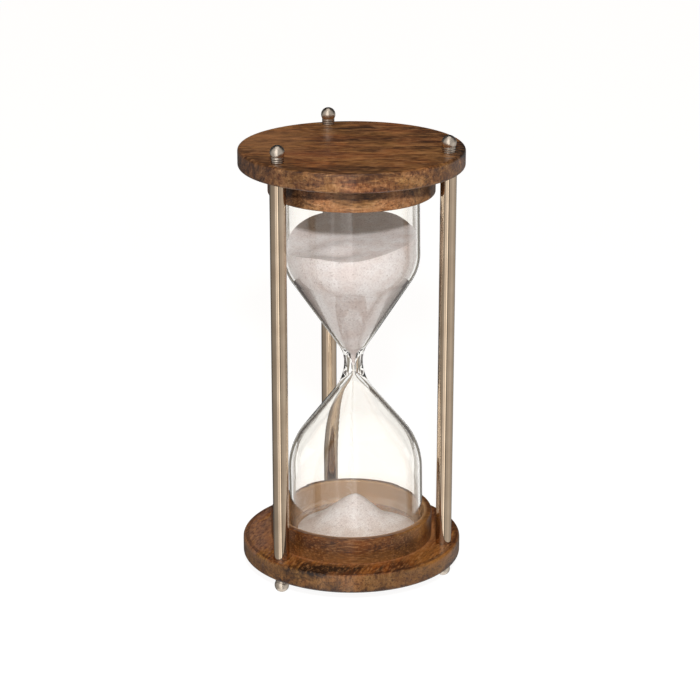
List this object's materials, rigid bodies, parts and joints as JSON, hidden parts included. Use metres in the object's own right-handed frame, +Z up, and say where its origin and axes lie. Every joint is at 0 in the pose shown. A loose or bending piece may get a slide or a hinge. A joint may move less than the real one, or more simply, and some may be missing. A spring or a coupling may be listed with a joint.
{
  "type": "hourglass",
  "caption": "Sand glass of blown glass with white sand, held between round dark wooden plates with collar rings by metal posts with ball nuts.",
  "frame": {"origin": "on the glass's axis, on the surface that the lower ball nuts stand on", "axes": "+Z up along the glass's axis, +Y towards the back post, +X to the right as seen from the front"},
  "size_m": [0.14, 0.14, 0.2894],
  "materials": {
    "plate_wood": "dark stained hardwood, satin lacquer",
    "ring_wood": "turned hardwood, dark stain, satin lacquer",
    "bulb_glass": "clear blown glass, fire polished",
    "stopper_rubber": "moulded, matt",
    "cushion_felt": "pressed wool felt, undyed",
    "sand": "fine white sand, loose",
    "post_metal": "drawn tube, brushed lengthways",
    "tie_rod_steel": "zinc plated threaded rod",
    "nut_metal": "turned and polished, nickel plated"
  },
  "bodies": {
    "stand": {"bottom_plate": "plate_wood", "top_plate": "plate_wood", "bottom_ring": "ring_wood", "top_ring": "ring_wood", "glass_bulb": "bulb_glass", "stopper": "stopper_rubber", "bottom_cushion": "cushion_felt", "top_cushion": "cushion_felt", "sand_upper": "sand", "sand_stream": "sand", "sand_heap": "sand", "post_left": "post_metal", "post_right": "post_metal", "post_back": "post_metal", "tie_rod_left": "tie_rod_steel", "tie_rod_right": "tie_rod_steel", "tie_rod_back": "tie_rod_steel"},
    "ball_nut_top_left": {"ball_nut_top_left": "nut_metal"},
    "ball_nut_top_right": {"ball_nut_top_right": "nut_metal"},
    "ball_nut_top_back": {"ball_nut_top_back": "nut_metal"},
    "ball_nut_bottom_left": {"ball_nut_bottom_left": "nut_metal"},
    "ball_nut_bottom_right": {"ball_nut_bottom_right": "nut_metal"},
    "ball_nut_bottom_back": {"ball_nut_bottom_back": "nut_metal"}
  },
  "joints": [
    {"name": "turn_ball_nut_top_left", "type": "hinge", "parent": "stand", "child": "ball_nut_top_left", "pos_m": [-0.05309, -0.03065, 0.2844], "axis": [0, 0, 1], "range_deg": [0, 360]},
    {"name": "turn_ball_nut_top_right", "type": "hinge", "parent": "stand", "child": "ball_nut_top_right", "pos_m": [0.05309, -0.03065, 0.2844], "axis": [0, 0, 1], "range_deg": [0, 360]},
    {"name": "turn_ball_nut_top_back", "type": "hinge", "parent": "stand", "child": "ball_nut_top_back", "pos_m": [0, 0.0613, 0.2844], "axis": [0, 0, 1], "range_deg": [0, 360]},
    {"name": "turn_ball_nut_bottom_left", "type": "hinge", "parent": "stand", "child": "ball_nut_bottom_left", "pos_m": [-0.05309, -0.03065, 0.005], "axis": [0, 0, -1], "range_deg": [0, 360]},
    {"name": "turn_ball_nut_bottom_right", "type": "hinge", "parent": "stand", "child": "ball_nut_bottom_right", "pos_m": [0.05309, -0.03065, 0.005], "axis": [0, 0, -1], "range_deg": [0, 360]},
    {"name": "turn_ball_nut_bottom_back", "type": "hinge", "parent": "stand", "child": "ball_nut_bottom_back", "pos_m": [0, 0.0613, 0.005], "axis": [0, 0, -1], "range_deg": [0, 360]}
  ]
}
